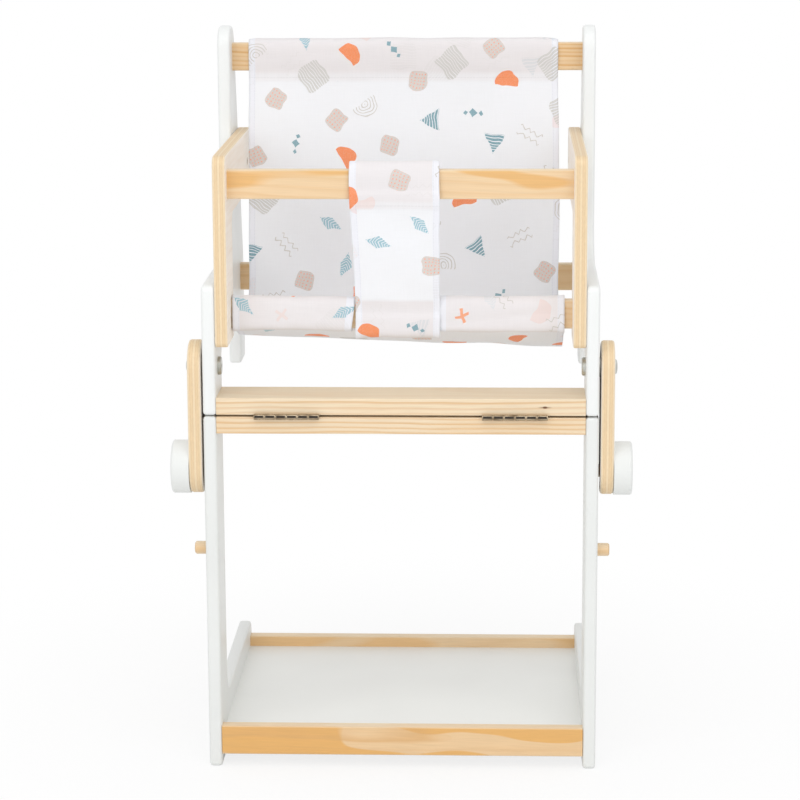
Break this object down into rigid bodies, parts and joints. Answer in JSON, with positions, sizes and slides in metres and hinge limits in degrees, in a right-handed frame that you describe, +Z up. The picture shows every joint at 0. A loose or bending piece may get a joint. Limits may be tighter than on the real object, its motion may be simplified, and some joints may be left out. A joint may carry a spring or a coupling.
{
  "type": "doll high chair",
  "caption": "Wooden doll high chair with a cloth sling seat that folds at its waist hinges into a low chair with a table, held by side latch arms.",
  "frame": {"origin": "middle of the footprint, on the floor", "axes": "+X to the right as seen from the front, +Y to the back, +Z up"},
  "size_m": [0.352, 0.2598, 0.562],
  "materials": {
    "white_lacquer": "satin white lacquer on board",
    "pine": "clear lacquered pine",
    "birch_plywood": "sanded plywood with the plies showing on its edges",
    "dowel_wood": "plain turned dowel",
    "plated_steel": "nickel plated",
    "cotton": "thin woven cotton with a printed pattern"
  },
  "bodies": {
    "chair": {"arm_panel_left": "birch_plywood", "arm_panel_right": "birch_plywood", "back_lower_slat": "pine", "back_top_slat": "pine", "chair_board": "pine", "chair_side_left": "white_lacquer", "chair_side_right": "white_lacquer", "crotch_strap": "cotton", "front_lower_slat": "pine", "front_upper_slat": "pine", "hinge_chair_leaf_left": "plated_steel", "hinge_chair_leaf_right": "plated_steel", "latch_washer_left": "plated_steel", "latch_washer_right": "plated_steel", "pivot_bolt_left": "plated_steel", "pivot_bolt_right": "plated_steel", "pivot_nut_left": "plated_steel", "pivot_nut_right": "plated_steel", "screw_arm_panel_left": "plated_steel", "screw_arm_panel_right": "plated_steel", "screw_bar_slat_left": "plated_steel", "screw_bar_slat_right": "plated_steel", "screw_chair_board_left": "plated_steel", "screw_chair_board_right": "plated_steel", "screw_front_slat_left": "plated_steel", "screw_front_slat_right": "plated_steel", "screw_rear_slat_left": "plated_steel", "screw_rear_slat_right": "plated_steel", "screw_top_slat_left": "plated_steel", "screw_top_slat_right": "plated_steel", "seat_sling": "cotton"},
    "base": {"base_board": "pine", "base_side_left": "white_lacquer", "base_side_right": "white_lacquer", "catch_peg_left": "dowel_wood", "catch_peg_right": "dowel_wood", "hinge_base_leaf_left": "plated_steel", "hinge_base_leaf_right": "plated_steel", "hinge_pin_left": "plated_steel", "hinge_pin_right": "plated_steel", "lock_peg_left": "dowel_wood", "lock_peg_right": "dowel_wood", "screw_base_board_left": "plated_steel", "screw_base_board_right": "plated_steel", "screw_tray_front_left": "plated_steel", "screw_tray_front_right": "plated_steel", "screw_tray_rear_left": "plated_steel", "screw_tray_rear_right": "plated_steel", "tray_board": "white_lacquer", "tray_front_rail": "pine", "tray_rear_rail": "pine"},
    "latch_left": {"latch_arm_left": "birch_plywood", "latch_knob_left": "white_lacquer"},
    "latch_right": {"latch_arm_right": "birch_plywood", "latch_knob_right": "white_lacquer"}
  },
  "joints": [
    {"name": "waist_fold", "type": "hinge", "parent": "chair", "child": "base", "pos_m": [0, -0.12765, 0.2795], "axis": [-1, 0, 0], "range_deg": [0, 180]},
    {"name": "latch_turn_left", "type": "hinge", "parent": "chair", "child": "latch_left", "pos_m": [-0.15675, -0.10515, 0.3146], "axis": [-1, 0, 0], "range_deg": [0, 152]},
    {"name": "latch_turn_right", "type": "hinge", "parent": "chair", "child": "latch_right", "pos_m": [0.15675, -0.10515, 0.3146], "axis": [-1, 0, 0], "range_deg": [0, 152]}
  ],
  "couplings": [
    {"joint": "latch_turn_left", "follows": "waist_fold", "ratio": 0.84444},
    {"joint": "latch_turn_right", "follows": "waist_fold", "ratio": 0.84444}
  ]
}
